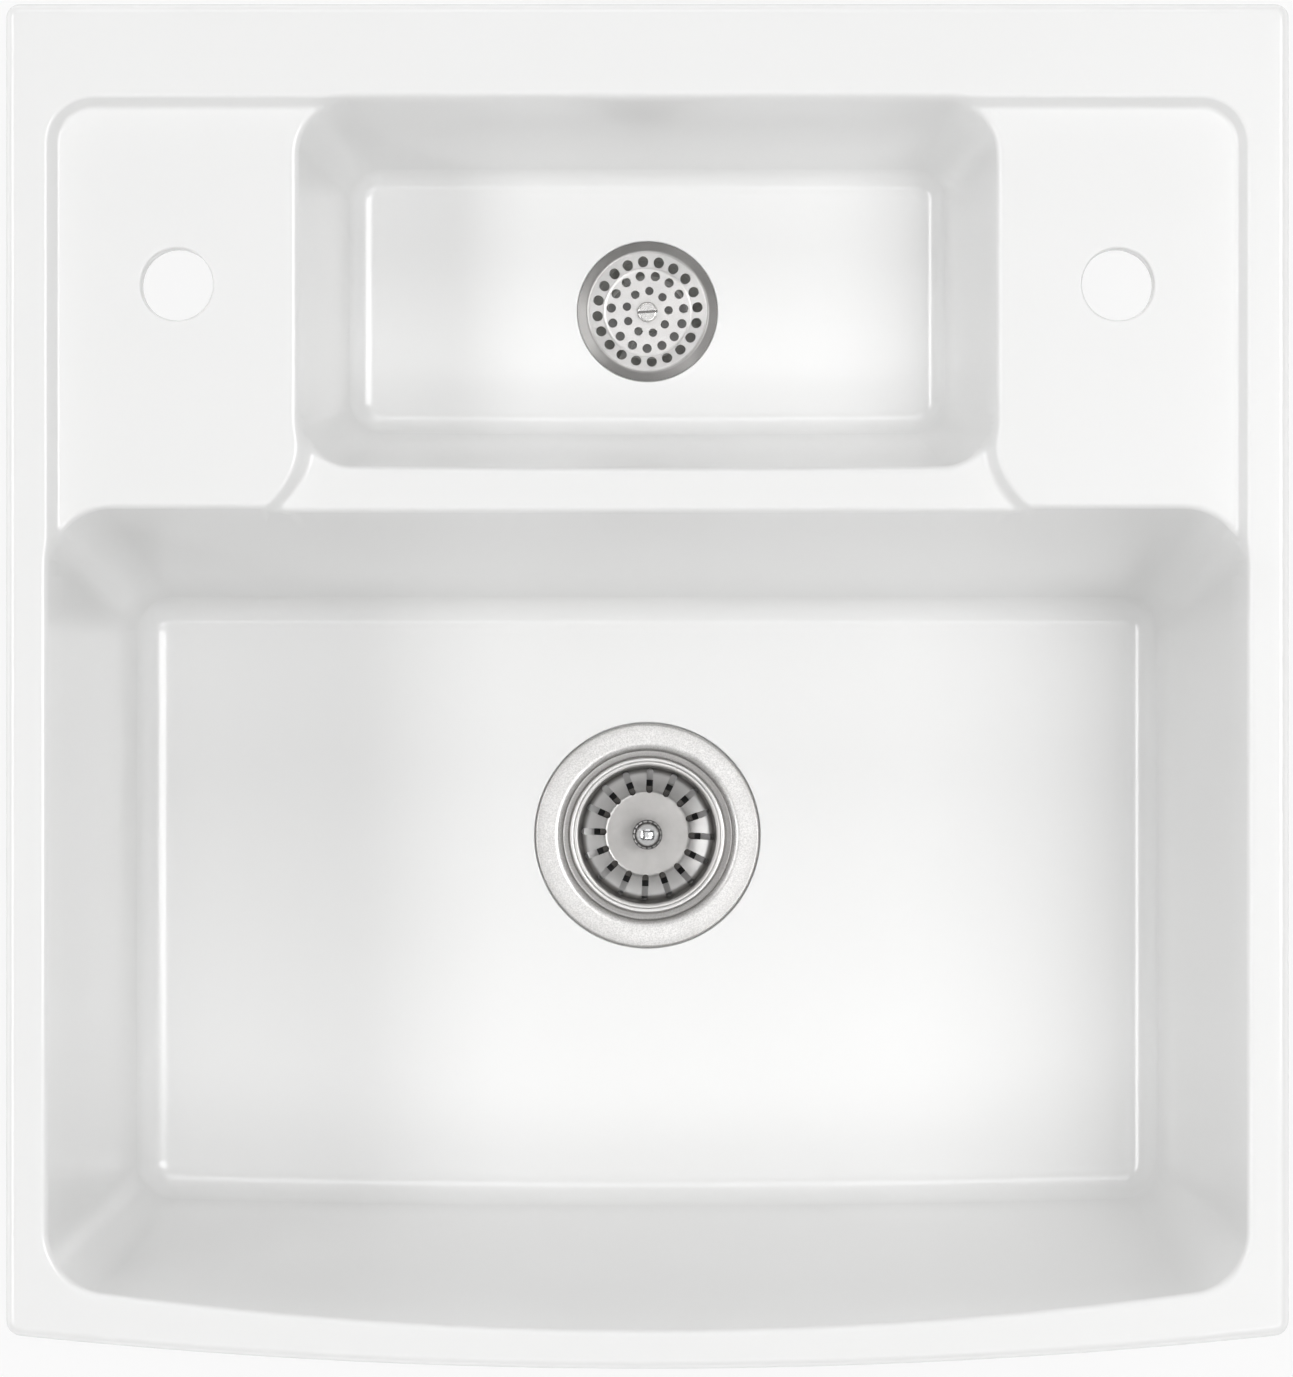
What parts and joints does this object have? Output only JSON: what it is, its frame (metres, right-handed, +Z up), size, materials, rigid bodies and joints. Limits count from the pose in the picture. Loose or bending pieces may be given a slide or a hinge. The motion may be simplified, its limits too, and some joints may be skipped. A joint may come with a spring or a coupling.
{
  "type": "ceramic kitchen sink",
  "caption": "Glazed ceramic kitchen sink with a bowed front rim, a main bowl, a small rear bowl between tap decks, a lift-out basket waste and a grid waste.",
  "frame": {"origin": "on the plane of symmetry, in the middle of the overall depth, at the underside of the rim", "axes": "+X to the right as seen from the bowed front, +Y to the back, +Z up"},
  "size_m": [0.595, 0.633, 0.3035],
  "materials": {
    "glaze": "polished",
    "satin_steel": "satin",
    "polished_steel": "gloss",
    "knob_chrome": "polished",
    "screw_steel": "gloss",
    "insert_brass": "satin",
    "seal_rubber": "matte",
    "stopper_rubber": "matte",
    "housing_plastic": "satin",
    "bush_plastic": "satin"
  },
  "bodies": {
    "sink": {"sink_body": "glaze", "main_strainer_cup": "satin_steel", "main_flange_seal": "seal_rubber", "main_under_seal": "seal_rubber", "main_waste_housing": "housing_plastic", "main_clamp_screw": "screw_steel", "main_screw_insert": "insert_brass", "small_grid_strainer": "polished_steel", "small_flange_seal": "seal_rubber", "small_under_seal": "seal_rubber", "small_waste_housing": "housing_plastic", "small_clamp_screw": "screw_steel", "small_screw_insert": "insert_brass"},
    "basket": {"basket_shell": "polished_steel", "basket_stem_bush": "bush_plastic"},
    "stopper": {"basket_knob": "knob_chrome", "basket_stem": "polished_steel", "basket_stopper_plate": "polished_steel", "basket_stopper_seal": "stopper_rubber", "basket_stem_nut": "screw_steel"}
  },
  "joints": [
    {"name": "basket_lift", "type": "slide", "parent": "sink", "child": "basket", "axis": [0, 0, 1], "range_m": [0, 0.26]},
    {"name": "stopper_pull", "type": "slide", "parent": "basket", "child": "stopper", "axis": [0, 0, 1], "range_m": [0, 0.008]}
  ]
}
